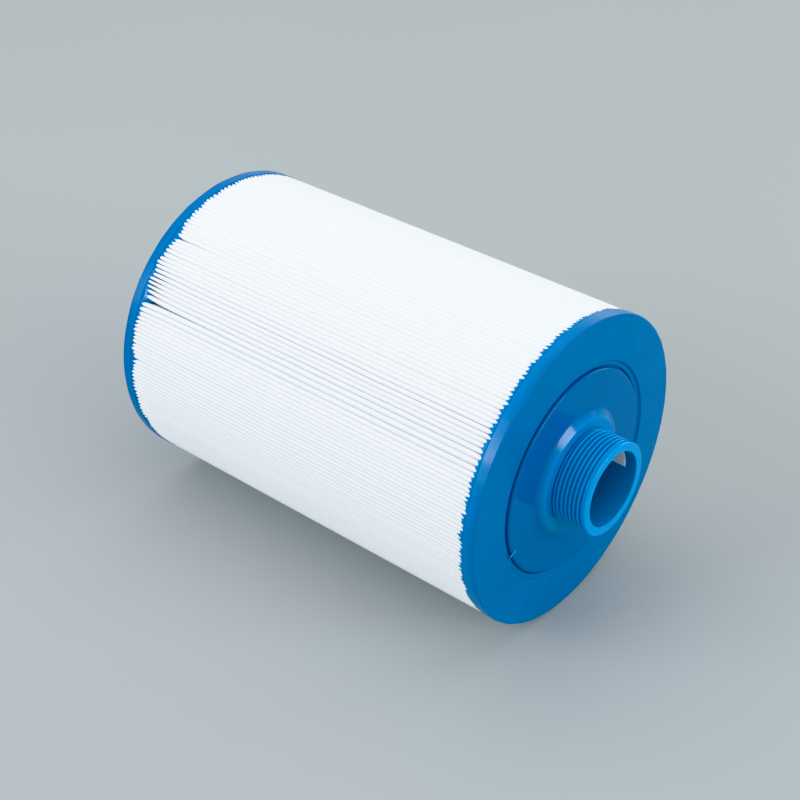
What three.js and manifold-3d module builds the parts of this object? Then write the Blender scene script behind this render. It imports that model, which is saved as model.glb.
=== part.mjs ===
// Screw-in filter cartridge for a spa or a small pool: a round pack of pleated white cloth between
// two cast blue end caps, with a threaded outlet at one end and a lifting handle at the other.
//
// Millimetres, +Z up. The cartridge lies on its side along X with the outlet towards +X, its caps rest
// on the plane Z = 0, and the origin lies under the middle of its bounding box. Each piece is made
// about its own axis, with x = 0 on the outer face of the threaded cap, and a group puts it in place.

import * as THREE from "three";
import { mergeVertices } from "three/addons/utils/BufferGeometryUtils.js";
import Module from "manifold-3d";

const wasm = await Module();
wasm.setup();

// ---------------------------------------------------------------- driving dimensions

const GAP = 0.3; // kept between pieces that touch or are cast round each other
const SIDES = 36; // flats round every turned piece, with one flat facing straight down
const CAP_RADIUS = 75;
const BODY_LENGTH = 214; // from the face of one cap to the face of the other
const CAP_EDGE = 0.6; // chamfer on the rim of a cap
const THREADED_CAP_DEPTH = 6.3;
const CLOSED_CAP_DEPTH = 7.1;

const INSERT_RADIUS = 49.5; // moulded disc in the middle of each cap, its face level with the cap's
const INSERT_EDGE = 0.8; // chamfer on the disc's rim
const INSERT_BACK = 3.6; // depth of its rear face below the cap's face
const FLANGE_RADIUS = 56; // buried rim that keys the disc into the cap
const FLANGE_STEP = 2.5; // depth of the buried rim's front
const GROOVE_RADIUS = 53; // where the cap's face starts to slope down to the groove round the disc
const GROOVE_DEPTH = 1.3;
const SPIGOT_LENGTH = 8.4; // ring behind each disc that centres the core
const SPIGOT_WALL = 2;

const CORE_INNER_RADIUS = 24.2;
const CORE_WALL = 2;
const WINDOW_ROWS = 8; // windows along the core
const WINDOW_BARS = 3; // each bar cuts two windows, one on either side
const WINDOW_LENGTH = 14;
const WINDOW_WIDTH = 13;
const WINDOW_PITCH = 23;

const BORE_RADIUS = 18.1;
const OUTLET_LENGTH = 20.3; // from the cap's face to the end of the nipple
const THREAD_RADIUS = 22.7; // at the crest
const THREAD_DEPTH = 1.2;
const THREAD_PITCH = 2.117; // twelve threads to the inch
const THREAD_START = 3.4;
const THREAD_END = 18.2;
const ROWS_PER_THREAD = 3;
const COLLAR_RADIUS = 27;
const COLLAR_TOP = 2.9;
const FLARE_RADIUS = 31.7; // where the collar's flare meets the disc
const FLARE_CURVE = 1.4; // 1 would make it a straight cone

const PLEATS = 208;
const PLEAT_TIP_RADIUS = 74.5;
const PLEAT_DEPTH = 4; // the outer part of each fold; behind it the pack is a plain ring
const PACK_INNER_RADIUS = 27;
const SEAM_ANGLE = 32.5; // degrees from straight up, towards -Y
const SEAM_THICKNESS = 0.3;
const SEAM_RADII = [71.8, 73.8];

const HANDLE_HALF_SPAN = 36;
const HANDLE_HEIGHT = 26; // above the face of its disc
const HANDLE_BAR = 5;
const HANDLE_WIDTH = 14;
const HANDLE_ROOT = 1.5; // how far the feet go into the disc

const LABEL_X = [3, 15];
const LABEL_ANGLES = [-92, -50]; // degrees from straight up, towards -Y
const LABEL_THICKNESS = 0.25;

const BLUE_CAST = 0x0468ab;
const BLUE_MOULDED = 0x0a74c4;

// ---------------------------------------------------------------- helpers

const radians = (degrees) => (degrees * Math.PI) / 180;

// A turned ring about X. The outline is a closed list of [radius, x] points in which the outer
// wall runs towards +X, and the radii are those of the flats' middles.
function turned(outline) {
  const corner = 1 / Math.cos(Math.PI / SIDES);
  const points = outline.map(([radius, x]) => new THREE.Vector2(radius * corner, x));
  points.push(points[0].clone());
  const geometry = new THREE.LatheGeometry(points, SIDES, Math.PI / SIDES);
  return geometry.rotateZ(-Math.PI / 2);
}

// A point at a radius and an angle from straight up, towards -Y, seen along the axis.
function around(radius, angle) {
  return new THREE.Vector2(-radius * Math.sin(angle), radius * Math.cos(angle));
}

// A flat outline in the plane across the axis, extruded from x0 to x1.
function extrudedAlongX(shape, x0, x1) {
  const geometry = new THREE.ExtrudeGeometry(shape, { depth: x1 - x0, bevelEnabled: false });
  // The outline's own axes become Y and Z, and the extrusion's become X.
  const toAxis = new THREE.Matrix4().set(0, 0, 1, x0, 1, 0, 0, 0, 0, 1, 0, 0, 0, 0, 0, 1);
  return geometry.applyMatrix4(toAxis);
}

// The mirror image of an outline for the closed end, with the outer wall again towards +X.
function mirrored(outline) {
  return outline.map(([radius, x]) => [radius, -BODY_LENGTH - x]).reverse();
}

function toSolid(geometry) {
  const bare = geometry.index ? geometry.toNonIndexed() : geometry.clone();
  bare.deleteAttribute("normal");
  bare.deleteAttribute("uv");
  const merged = mergeVertices(bare, 1e-3);
  return new wasm.Manifold(
    new wasm.Mesh({
      numProp: 3,
      vertProperties: merged.attributes.position.array,
      triVerts: new Uint32Array(merged.index.array),
    }),
  );
}

function toGeometry(solid) {
  const { vertProperties, triVerts } = solid.getMesh();
  const geometry = new THREE.BufferGeometry();
  geometry.setAttribute("position", new THREE.BufferAttribute(vertProperties, 3));
  geometry.setIndex(new THREE.BufferAttribute(triVerts, 1));
  const faceted = geometry.toNonIndexed();
  faceted.computeVertexNormals();
  return faceted;
}

function piece(name, geometry, color, roughness) {
  const material = new THREE.MeshStandardMaterial({ color, roughness, metalness: 0 });
  const mesh = new THREE.Mesh(geometry, material);
  mesh.name = name;
  return mesh;
}

// ---------------------------------------------------------------- end caps

// A cast ring with the face at x = 0: it slopes down to a groove round the disc, closes over the
// disc's buried rim and runs in behind the disc as far as the core.
function capOutline(depth) {
  const coreClearance = CORE_INNER_RADIUS + CORE_WALL + GAP;
  const pocketTop = -FLANGE_STEP + GAP;
  const pocketBottom = -INSERT_BACK - GAP;
  return [
    [coreClearance, pocketBottom],
    [coreClearance, -depth],
    [CAP_RADIUS, -depth],
    [CAP_RADIUS, -CAP_EDGE],
    [CAP_RADIUS - CAP_EDGE, 0],
    [GROOVE_RADIUS, 0],
    [INSERT_RADIUS + GAP, -GROOVE_DEPTH],
    [INSERT_RADIUS + GAP, pocketTop],
    [FLANGE_RADIUS + GAP, pocketTop],
    [FLANGE_RADIUS + GAP, pocketBottom],
  ];
}

function threadedEndCap() {
  const geometry = turned(capOutline(THREADED_CAP_DEPTH));
  return piece("threaded_end_cap", geometry, BLUE_CAST, 0.35);
}

function closedEndCap() {
  const geometry = turned(mirrored(capOutline(CLOSED_CAP_DEPTH)));
  return piece("closed_end_cap", geometry, BLUE_CAST, 0.35);
}

// ---------------------------------------------------------------- moulded inserts

// The part of a disc's outline that both ends share: spigot, rear face and stepped rim. It ends where
// the front face begins, at x = 0.
function insertRim() {
  const spigotRadius = CORE_INNER_RADIUS - GAP;
  return [
    [spigotRadius - SPIGOT_WALL, -INSERT_BACK - SPIGOT_LENGTH],
    [spigotRadius, -INSERT_BACK - SPIGOT_LENGTH],
    [spigotRadius, -INSERT_BACK],
    [FLANGE_RADIUS, -INSERT_BACK],
    [FLANGE_RADIUS, -FLANGE_STEP],
    [INSERT_RADIUS, -FLANGE_STEP],
    [INSERT_RADIUS, -INSERT_EDGE],
    [INSERT_RADIUS - INSERT_EDGE, 0],
  ];
}

// The hollow flare that rises from the disc to the collar of the outlet, steeper towards the top.
function collarFlare() {
  const steps = 4;
  const run = FLARE_RADIUS - COLLAR_RADIUS;
  return Array.from({ length: steps + 1 }, (_, i) => {
    const share = i / steps;
    return [FLARE_RADIUS - run * share, COLLAR_TOP * share ** FLARE_CURVE];
  });
}

function threadRows() {
  const spacing = THREAD_PITCH / ROWS_PER_THREAD;
  const count = Math.round((THREAD_END - THREAD_START) / spacing);
  return Array.from({ length: count + 1 }, (_, i) => {
    return [THREAD_RADIUS, THREAD_START + (i / count) * (THREAD_END - THREAD_START)];
  });
}

// Presses a right-hand thread into the rows at crest radius: each point moves in by a depth that
// follows a flattened wave along x, shifted by one pitch for each turn round the axis.
function cutThread(geometry) {
  const position = geometry.getAttribute("position");
  const crest = THREAD_RADIUS / Math.cos(Math.PI / SIDES);
  for (let i = 0; i < position.count; i++) {
    const [x, y, z] = [position.getX(i), position.getY(i), position.getZ(i)];
    const radius = Math.hypot(y, z);
    if (Math.abs(radius - crest) > 1e-3 || x < THREAD_START - 1e-3) continue;
    const turns = x / THREAD_PITCH - Math.atan2(-y, z) / (2 * Math.PI);
    const wave = Math.abs(2 * (turns - Math.floor(turns)) - 1);
    const depth = THREAD_DEPTH * THREE.MathUtils.clamp(1.5 * wave - 0.25, 0, 1);
    const scale = (radius - depth) / radius;
    position.setXYZ(i, x, y * scale, z * scale);
  }
  return geometry;
}

// Disc, collar and threaded nipple in one moulding, bored right through.
function threadedFitting() {
  const root = THREAD_RADIUS - THREAD_DEPTH - 0.1;
  const land = THREAD_RADIUS - 0.2;
  const chamfer = 0.9;
  const relief = 0.4;
  const spigotBore = CORE_INNER_RADIUS - GAP - SPIGOT_WALL;
  const outline = [
    ...insertRim(),
    ...collarFlare(),
    [root, COLLAR_TOP],
    [root, COLLAR_TOP + relief],
    ...threadRows(),
    [land, THREAD_END + 0.3],
    [land, OUTLET_LENGTH - chamfer],
    [land - chamfer, OUTLET_LENGTH],
    [BORE_RADIUS + CAP_EDGE, OUTLET_LENGTH],
    [BORE_RADIUS, OUTLET_LENGTH - CAP_EDGE],
    [BORE_RADIUS, -INSERT_BACK - 1],
    [spigotBore, -INSERT_BACK - SPIGOT_LENGTH / 2],
  ];
  return piece("threaded_fitting", cutThread(turned(outline)), BLUE_MOULDED, 0.2);
}

// An arch of flat bar, standing on the closed disc across Y.
function handleBow() {
  const root = -BODY_LENGTH + HANDLE_ROOT;
  const height = HANDLE_HEIGHT + HANDLE_ROOT;
  const innerSpan = HANDLE_HALF_SPAN - HANDLE_BAR;
  const arch = new THREE.Shape();
  arch.moveTo(-HANDLE_HALF_SPAN, 0);
  arch.absellipse(0, 0, HANDLE_HALF_SPAN, height, Math.PI, 0, true);
  arch.lineTo(innerSpan, 0);
  arch.absellipse(0, 0, innerSpan, height - HANDLE_BAR, 0, Math.PI, false);
  arch.closePath();
  const geometry = new THREE.ExtrudeGeometry(arch, {
    depth: HANDLE_WIDTH,
    bevelEnabled: false,
    curveSegments: 16,
  });
  geometry.translate(0, 0, -HANDLE_WIDTH / 2);
  geometry.rotateZ(Math.PI / 2);
  return geometry.translate(root, 0, 0);
}

// The closed disc has no bore: its outline runs in to the axis on both faces.
function handleInsert() {
  const disc = mirrored([
    ...insertRim(),
    [0, 0],
    [0, -INSERT_BACK],
    [CORE_INNER_RADIUS - GAP - SPIGOT_WALL, -INSERT_BACK],
  ]);
  const solid = toSolid(turned(disc)).add(toSolid(handleBow()));
  return piece("handle_insert", toGeometry(solid), BLUE_MOULDED, 0.2);
}

// ---------------------------------------------------------------- core

// A tube between the two discs with rows of square windows.
function centreCore() {
  const ends = [-BODY_LENGTH + INSERT_BACK + GAP, -INSERT_BACK - GAP];
  const outer = CORE_INNER_RADIUS + CORE_WALL;
  let tube = toSolid(
    turned([
      [CORE_INNER_RADIUS, ends[0]],
      [outer, ends[0]],
      [outer, ends[1]],
      [CORE_INNER_RADIUS, ends[1]],
    ]),
  );
  const firstRow = -BODY_LENGTH / 2 - ((WINDOW_ROWS - 1) / 2) * WINDOW_PITCH;
  for (let row = 0; row < WINDOW_ROWS; row++) {
    for (let bar = 0; bar < WINDOW_BARS; bar++) {
      const cutter = new THREE.BoxGeometry(WINDOW_LENGTH, WINDOW_WIDTH, 3 * outer);
      cutter.rotateX((bar * Math.PI) / WINDOW_BARS);
      cutter.translate(firstRow + row * WINDOW_PITCH, 0, 0);
      tube = tube.subtract(toSolid(cutter));
    }
  }
  return piece("centre_core", toGeometry(tube), BLUE_MOULDED, 0.4);
}

// ---------------------------------------------------------------- cloth

// The pack's outline: a tip and a valley for each pleat, with the first valley on the seam.
function pleatLine() {
  const pitch = (2 * Math.PI) / PLEATS;
  const seam = radians(SEAM_ANGLE);
  return Array.from({ length: PLEATS }, (_, i) => seam + i * pitch).flatMap((start) => [
    around(PLEAT_TIP_RADIUS - PLEAT_DEPTH, start),
    around(PLEAT_TIP_RADIUS, start + pitch / 2),
  ]);
}

function packEnds() {
  return [-BODY_LENGTH + CLOSED_CAP_DEPTH + GAP, -THREADED_CAP_DEPTH - GAP];
}

// A ring round the core, creased all round its outside.
function pleatedMedia() {
  const pack = new THREE.Shape(pleatLine());
  const hole = Array.from({ length: SIDES }, (_, i) => {
    return around(PACK_INNER_RADIUS, ((i + 0.5) * 2 * Math.PI) / SIDES);
  });
  pack.holes.push(new THREE.Path(hole));
  return piece("pleated_media", extrudedAlongX(pack, ...packEnds()), 0xf4f5f8, 0.95);
}

// The film of glue that joins the two ends of the folded cloth, in the valley between two pleats.
function seamBead() {
  const [inner, outer] = SEAM_RADII;
  const [from, to] = packEnds();
  const geometry = new THREE.BoxGeometry(to - from, SEAM_THICKNESS, outer - inner);
  geometry.translate((from + to) / 2, 0, (inner + outer) / 2);
  geometry.rotateX(radians(SEAM_ANGLE));
  return piece("seam_bead", geometry, 0xe9e6dc, 0.5);
}

// ---------------------------------------------------------------- label

// A small blank label curved to the wall of the bore.
function boreLabel() {
  const outer = BORE_RADIUS - GAP;
  const inner = outer - LABEL_THICKNESS;
  const [from, to] = LABEL_ANGLES.map(radians);
  const steps = 6;
  const angles = Array.from({ length: steps + 1 }, (_, i) => from + (i / steps) * (to - from));
  const outline = [
    ...angles.map((angle) => around(outer, angle)),
    ...angles.reverse().map((angle) => around(inner, angle)),
  ];
  const geometry = extrudedAlongX(new THREE.Shape(outline), ...LABEL_X);
  return piece("bore_label", geometry, 0xf2f2f0, 0.6);
}

// ---------------------------------------------------------------- assembly

const cartridge = new THREE.Group();
cartridge.add(
  threadedFitting(),
  threadedEndCap(),
  closedEndCap(),
  handleInsert(),
  centreCore(),
  pleatedMedia(),
  seamBead(),
  boreLabel(),
);
const handleTop = -BODY_LENGTH - HANDLE_HEIGHT;
cartridge.position.set(-(OUTLET_LENGTH + handleTop) / 2, 0, CAP_RADIUS);

export default cartridge;
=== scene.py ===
"""A pleated filter cartridge for a spa or a small pool, lying on its side in a plain studio.

Every piece is a surface worked out with numpy round the cartridge's axis, which lies along X. A place on
it has a station x, measured from the outer face of the threaded cap and negative towards the closed end,
a radius from the axis, and an angle from straight up that grows towards -Y. All sizes are in metres.
"""

import bpy
import numpy as np
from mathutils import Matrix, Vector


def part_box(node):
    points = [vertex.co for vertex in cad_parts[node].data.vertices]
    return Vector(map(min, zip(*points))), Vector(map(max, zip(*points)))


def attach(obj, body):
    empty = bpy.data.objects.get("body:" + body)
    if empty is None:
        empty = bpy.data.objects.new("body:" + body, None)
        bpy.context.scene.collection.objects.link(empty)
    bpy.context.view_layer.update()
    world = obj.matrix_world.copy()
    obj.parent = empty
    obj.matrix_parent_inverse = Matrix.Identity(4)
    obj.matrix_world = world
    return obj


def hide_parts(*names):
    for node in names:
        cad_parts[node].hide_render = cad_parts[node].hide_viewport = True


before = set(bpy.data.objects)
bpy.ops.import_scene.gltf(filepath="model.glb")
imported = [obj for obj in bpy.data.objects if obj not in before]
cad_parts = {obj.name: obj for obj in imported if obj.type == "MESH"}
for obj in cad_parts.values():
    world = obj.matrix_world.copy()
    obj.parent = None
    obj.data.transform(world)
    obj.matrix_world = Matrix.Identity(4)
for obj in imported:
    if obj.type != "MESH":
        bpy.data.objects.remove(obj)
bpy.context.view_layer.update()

bl_info = {
    "name": "Pleated Filter Cartridge",
    "version": (1, 0, 0),
    "blender": (4, 5, 0),
    "location": "3D View > Sidebar > Cartridge",
    "description": "Builds a screw-in filter cartridge with pleated cloth between cast end caps",
    "category": "Add Mesh",
}

MM = 0.001
TURN = 2 * np.pi


def node_box(name):
    """The lowest and highest corners of a node of the frame, as arrays."""
    low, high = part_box(name)
    return np.array(low), np.array(high)


CAP_LOW, CAP_HIGH = node_box("threaded_end_cap")
FACE_X = CAP_HIGH[0]
BODY_LENGTH = FACE_X - node_box("closed_end_cap")[0][0]
AXIS_Z = (CAP_LOW[2] + CAP_HIGH[2]) / 2
CAP_RADIUS = (CAP_HIGH[1] - CAP_LOW[1]) / 2
OUTLET_LENGTH = node_box("threaded_fitting")[1][0] - FACE_X
HANDLE_TOP = node_box("handle_insert")[0][0] - FACE_X


# ------------------------------------------------------------------ settings


def as_length(name, description, default):
    """A setting in metres."""
    return bpy.props.FloatProperty(
        name=name, description=description, default=default, unit="LENGTH", precision=5
    )


def as_angle(name, description, degrees):
    """A setting that is an angle."""
    return bpy.props.FloatProperty(
        name=name, description=description, default=np.radians(degrees), subtype="ANGLE"
    )


def as_colour(name, description, default):
    """A setting that is a colour."""
    return bpy.props.FloatVectorProperty(
        name=name, description=description, default=default, subtype="COLOR", min=0, max=1
    )


class CartridgeSizes(bpy.types.PropertyGroup):
    """Sizes of the cartridge's pieces that the frame doesn't fix."""

    pleats: bpy.props.IntProperty(
        name="Pleats", description="Folds of cloth round the pack", default=208, min=60, max=240
    )
    cloth: as_length("Cloth", "Thickness of the filter cloth", 0.36 * MM)
    tip_gap: as_length("Tip below rim", "How far the tips of the pleats lie inside the caps' rims", 0.35 * MM)
    pleat_bottom: as_length("Pleat bottom", "Radius of the inner folds, just outside the core", 26.7 * MM)
    cap_side: as_length("Cap side", "Height of a cap's side wall, down to the pleats' tips", 5.5 * MM)
    climb: as_length("Climb", "How far the cast plastic has climbed between the pleats", 3.8 * MM)
    seam_angle: as_angle("Seam", "Where the two ends of the cloth meet, from straight up towards -Y", 32.4)
    thread_pitch: as_length("Thread pitch", "Distance between the crests of the outlet's thread", 2.117 * MM)


class CartridgeColours(bpy.types.PropertyGroup):
    """Colours of the cartridge's materials."""

    cast: as_colour("Caps", "Cast plastic of the end caps", (0.0, 0.135, 0.43))
    moulded: as_colour("Mouldings", "Glossy plastic of the outlet, the handle and the core", (0.0, 0.11, 0.39))
    cloth: as_colour("Cloth", "Filter cloth", (0.92, 0.925, 0.935))
    floor: as_colour("Floor", "Studio floor", (0.435, 0.46, 0.468))


class StudioSettings(bpy.types.PropertyGroup):
    """Camera and lights."""

    azimuth: as_angle("Azimuth", "Camera's bearing: 0 looks along +Y, 90 along -X", 39.81)
    elevation: as_angle("Elevation", "Camera's height above the horizon", 34.68)
    distance: as_length("Distance", "From the camera to the point it looks at", 773.5 * MM)
    lens: bpy.props.FloatProperty(
        name="Lens", description="Focal length in millimetres", default=72.34, min=10, max=300
    )
    ambient: bpy.props.FloatProperty(
        name="Ambient", description="Strength of the light from all round", default=0.735, min=0
    )


# ------------------------------------------------------------------ surfaces


def about_axis(x, radius, angle):
    """Points in the row's frame: station x along the axis, and radius turned by angle about it."""
    x, radius, angle = np.broadcast_arrays(x, radius, angle)
    return np.stack(
        [FACE_X + x, -radius * np.sin(angle), AXIS_Z + radius * np.cos(angle)], axis=-1
    )


def grid_faces(rows, columns, wrap_rows, wrap_columns):
    """Quads between neighbours on a grid of points, which close up on themselves where it wraps."""
    i, j = np.meshgrid(
        np.arange(rows - (not wrap_rows)), np.arange(columns - (not wrap_columns)), indexing="ij"
    )
    below, beside = (i + 1) % rows, (j + 1) % columns
    quads = [i * columns + j, i * columns + beside, below * columns + beside, below * columns + j]
    return np.stack(quads, axis=-1).reshape(-1, 4)


def fan_faces(hub, rim, flip):
    """Triangles from one point to a closed ring of points."""
    after = np.roll(rim, -1)
    order = [np.full(len(rim), hub), after, rim] if flip else [np.full(len(rim), hub), rim, after]
    return np.stack(order, axis=-1)


def capped(grid, ends=None):
    """A tube through rows of points, closed by a fan of triangles at each end: to the given point, or
    to the middle of the row."""
    rows, columns = grid.shape[:2]
    if ends is None:
        ends = grid[[0, -1]].mean(1)
    walls, rim = grid.reshape(-1, 3), np.arange(columns)
    count = len(walls)
    faces = [
        grid_faces(rows, columns, False, True),
        fan_faces(count, rim, True),
        fan_faces(count + 1, count - columns + rim, False),
    ]
    return np.concatenate([walls, ends]), faces


def joined(*parts):
    """One list of points and faces from several, each a pair of points and a list of face arrays."""
    points, faces, start = [], [], 0
    for own_points, own_faces in parts:
        points.append(own_points)
        faces += [face + start for face in own_faces]
        start += len(own_points)
    return np.concatenate(points), faces


def rounded(corners, steps, leads=(0, 0), support=0.35 * MM):
    """A closed outline with its corners rounded. Each corner is (radius, x, rounding): a circular arc, as
    a rational quadratic curve, replaces it, with one more point a little way along each side, which
    keeps the shading of the flats flat. For an open outline, leads says how many corners at its start
    and its end only point the way and are left out. Returns the points as an array of (radius, x).
    """
    table = np.array(corners, float)
    corner, rounding = table[:, :2], table[:, 2]
    before, after = np.roll(corner, 1, 0) - corner, np.roll(corner, -1, 0) - corner
    reach_before, reach_after = (np.linalg.norm(d, axis=1) for d in (before, after))
    before, after = before / reach_before[:, None], after / reach_after[:, None]
    half = np.arccos(np.clip((before * after).sum(1), -1, 1)) / 2
    room = np.minimum(reach_before, reach_after)
    tangent = np.minimum(rounding / np.tan(half), 0.42 * room)
    spare = np.minimum(support, 0.06 * room)[:, None, None]
    t = np.linspace(0, 1, steps)[None, :, None]
    weight = np.sin(half)[:, None, None]
    start = (corner + tangent[:, None] * before)[:, None]
    end = (corner + tangent[:, None] * after)[:, None]
    pulls = [(1 - t) ** 2, 2 * t * (1 - t) * weight, t**2]
    arc = (pulls[0] * start + pulls[1] * corner[:, None] + pulls[2] * end) / sum(pulls)
    lead_in, lead_out = start + spare * before[:, None], end + spare * after[:, None]
    points = np.concatenate([lead_in, arc, lead_out], axis=1)
    return points[leads[0] : len(points) - leads[1]].reshape(-1, 2)


def turned(outline, columns):
    """A solid turned about the axis: an open outline whose first and last points lie on the axis."""
    angle = np.linspace(0, TURN, columns, endpoint=False)
    inner = outline[1:-1]
    walls = about_axis(inner[:, 1, None], inner[:, 0, None], angle[None, :])
    return capped(walls, about_axis(outline[[0, -1], 1], 0.0, 0.0))


def mirrored(points, faces):
    """The same shape at the closed end: mirrored about the body's middle, with its faces turned back."""
    middle = FACE_X - BODY_LENGTH / 2
    flipped = points.copy()
    flipped[:, 0] = 2 * middle - flipped[:, 0]
    return flipped, turned_back(faces)


def turned_back(faces):
    """The same faces, facing the other way."""
    return [face[:, ::-1] for face in faces]


def smooth_step(value, low, high):
    """0 below low and 1 above high, with a cubic between them that starts and ends level."""
    t = np.clip((value - low) / (high - low), 0, 1)
    return t * t * (3 - 2 * t)


def away_from(where, angle, turn=TURN):
    """How far an angle lies past where, the short way round."""
    return (angle - where + turn / 2) % turn - turn / 2


def bell(angle, centre, width):
    """A bell curve round the axis, with angles in degrees."""
    return np.exp(-((away_from(centre, angle, 360) / width) ** 2))


def ripple(angle, seed, frequencies, size):
    """A smooth random wave round the axis: sines of whole frequencies with random phases and strengths."""
    random = np.random.default_rng(seed)
    phase = random.uniform(0, TURN, len(frequencies))
    strength = random.normal(0, 1, len(frequencies))
    strength *= size / np.sqrt((strength**2).sum() / 2)
    return (strength * np.sin(np.asarray(frequencies) * angle[..., None] + phase)).sum(-1)


def new_piece(name, points, faces, material, smooth=True):
    """A mesh object at the origin from an array of points and a list of face arrays."""
    mesh = bpy.data.meshes.new(name)
    mesh.vertices.add(len(points))
    mesh.vertices.foreach_set("co", points.astype(np.float32).ravel())
    corners = np.concatenate([face.ravel() for face in faces])
    sizes = np.concatenate([np.full(len(face), face.shape[1]) for face in faces])
    mesh.loops.add(len(corners))
    mesh.loops.foreach_set("vertex_index", corners.astype(np.int32))
    mesh.polygons.add(len(sizes))
    mesh.polygons.foreach_set("loop_start", (np.cumsum(sizes) - sizes).astype(np.int32))
    mesh.polygons.foreach_set("use_smooth", np.full(len(sizes), smooth))
    mesh.update(calc_edges=True)
    if mesh.validate():
        raise RuntimeError(name + " has faces that don't fit together")
    mesh.materials.append(material)
    piece = bpy.data.objects.new(name, mesh)
    bpy.context.scene.collection.objects.link(piece)
    return piece


def add_shade(piece, name, value):
    """Gives every point of a piece a number for its material to read."""
    shade = piece.data.attributes.new(name, "FLOAT", "POINT")
    shade.data.foreach_set("value", value.astype(np.float32))


def settle(piece, node):
    """Puts a finished piece on the cartridge's one body, in place of its plain node."""
    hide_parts(node)
    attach(piece, "root")
    return piece


# ------------------------------------------------------------------ materials


# Colours that no one would need to change: of scuffs, glue and label paper.
PALE_SCUFF = (0.12, 0.36, 0.64)
GLUE = (0.78, 0.77, 0.72)
PAPER = (0.84, 0.85, 0.87)
PAPER_DARK, PAPER_LIGHT = (0.78, 0.79, 0.82), (0.88, 0.88, 0.90)

# How much brighter thin cast plastic looks over the cloth, and how much the painted glow lightens the moulded
# plastic, for red, green and blue.
OVER_CLOTH = (1, 1.55, 1.35)
PAINTED_GLOW = (1, 2.65, 1.9)

MIX_COLOURS, MIX_RESULT = (6, 7), 2  # the colour sockets of a Mix node


class Finish:
    """A principled material, with short calls for the nodes that give it its detail."""

    def __init__(self, name, colour, roughness):
        self.material = bpy.data.materials.new(name)
        self.material.use_nodes = True
        self.nodes = self.material.node_tree.nodes
        self.links = self.material.node_tree.links
        self.nodes.clear()
        self.shader = self.nodes.new("ShaderNodeBsdfPrincipled")
        output = self.nodes.new("ShaderNodeOutputMaterial")
        self.links.new(self.shader.outputs["BSDF"], output.inputs["Surface"])
        self.shader.inputs["Base Color"].default_value = (*colour, 1)
        self.shader.inputs["Roughness"].default_value = roughness
        self.place = self.nodes.new("ShaderNodeTexCoord").outputs["Object"]

    def set(self, **values):
        """Sets sockets of the shader by name, with underscores for spaces."""
        for name, value in values.items():
            self.shader.inputs[name.replace("_", " ")].default_value = value

    def link(self, source, socket):
        """Feeds a socket of the shader from a node's output."""
        self.links.new(source, self.shader.inputs[socket])

    def stretched(self, x, y, z):
        """Object coordinates with each axis multiplied."""
        mapping = self.nodes.new("ShaderNodeMapping")
        mapping.inputs["Scale"].default_value = (x, y, z)
        self.links.new(self.place, mapping.inputs["Vector"])
        return mapping.outputs["Vector"]

    def noise(self, size, detail=2.0, place=None):
        """Noise with features of about that size, in metres."""
        node = self.nodes.new("ShaderNodeTexNoise")
        node.inputs["Scale"].default_value = 1 / size
        node.inputs["Detail"].default_value = detail
        self.links.new(self.place if place is None else place, node.inputs["Vector"])
        return node.outputs["Fac"]

    def attribute(self, name):
        """The number that add_shade gave each point under that name."""
        node = self.nodes.new("ShaderNodeAttribute")
        node.attribute_name = name
        return node.outputs["Fac"]

    def ranged(self, value, low, high, out_low, out_high):
        """The value, moved from one range to another and held at its ends."""
        node = self.nodes.new("ShaderNodeMapRange")
        self.links.new(value, node.inputs["Value"])
        for name, number in zip(
            ("From Min", "From Max", "To Min", "To Max"), (low, high, out_low, out_high)
        ):
            node.inputs[name].default_value = number
        return node.outputs["Result"]

    def combined(self, operation, a, b):
        """Two numbers, each a plain one or another node's, put through a Math node."""
        node = self.nodes.new("ShaderNodeMath")
        node.operation = operation
        for socket, value in zip(node.inputs, (a, b)):
            if isinstance(value, (int, float)):
                socket.default_value = value
            else:
                self.links.new(value, socket)
        return node.outputs["Value"]

    def blend(self, share, a, b):
        """A colour between two, each a plain colour or another node's."""
        node = self.nodes.new("ShaderNodeMix")
        node.data_type = "RGBA"
        self.links.new(share, node.inputs["Factor"])
        for index, value in zip(MIX_COLOURS, (a, b)):
            socket = node.inputs[index]
            if isinstance(value, bpy.types.NodeSocket):
                self.links.new(value, socket)
            else:
                socket.default_value = (*value, 1)
        return node.outputs[MIX_RESULT]

    def bump(self, height, depth, strength=1.0):
        """Raises the surface by up to depth metres where the height is 1."""
        node = self.nodes.new("ShaderNodeBump")
        node.inputs["Strength"].default_value = strength
        node.inputs["Distance"].default_value = depth
        self.links.new(height, node.inputs["Height"])
        self.link(node.outputs["Normal"], "Normal")


def scaled(colour, factor):
    """A colour made brighter or darker, by one factor or by one for each channel."""
    return tuple(np.minimum(1.0, np.multiply(colour, factor)))


def cast_plastic(colour):
    """Cast polyurethane: satin, a little cloudy, with a fine orange peel and a few pale scuffs. It
    looks brighter where it runs out thin over the white cloth."""
    finish = Finish("cast_plastic", colour, 0.3)
    finish.set(Specular_IOR_Level=0.45)
    cloudy = finish.ranged(finish.noise(18 * MM, 3), 0.3, 0.7, 0, 1)
    body = finish.blend(cloudy, scaled(colour, 0.95), scaled(colour, 1.05))
    body = finish.blend(finish.attribute("thin_and_painted_light"), body, scaled(colour, OVER_CLOTH))
    scuffed = finish.ranged(finish.noise(1.1 * MM, 1), 0.79, 0.83, 0, 1)
    patch = finish.ranged(finish.noise(28 * MM, 0), 0.58, 0.64, 0, 0.5)
    share = finish.combined("MULTIPLY", scuffed, patch)
    finish.link(finish.blend(share, body, PALE_SCUFF), "Base Color")
    finish.link(finish.ranged(finish.noise(6 * MM, 4), 0.3, 0.7, 0.26, 0.36), "Roughness")
    finish.bump(finish.noise(1.6 * MM, 2), 0.02 * MM, 0.5)
    return finish.material


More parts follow.
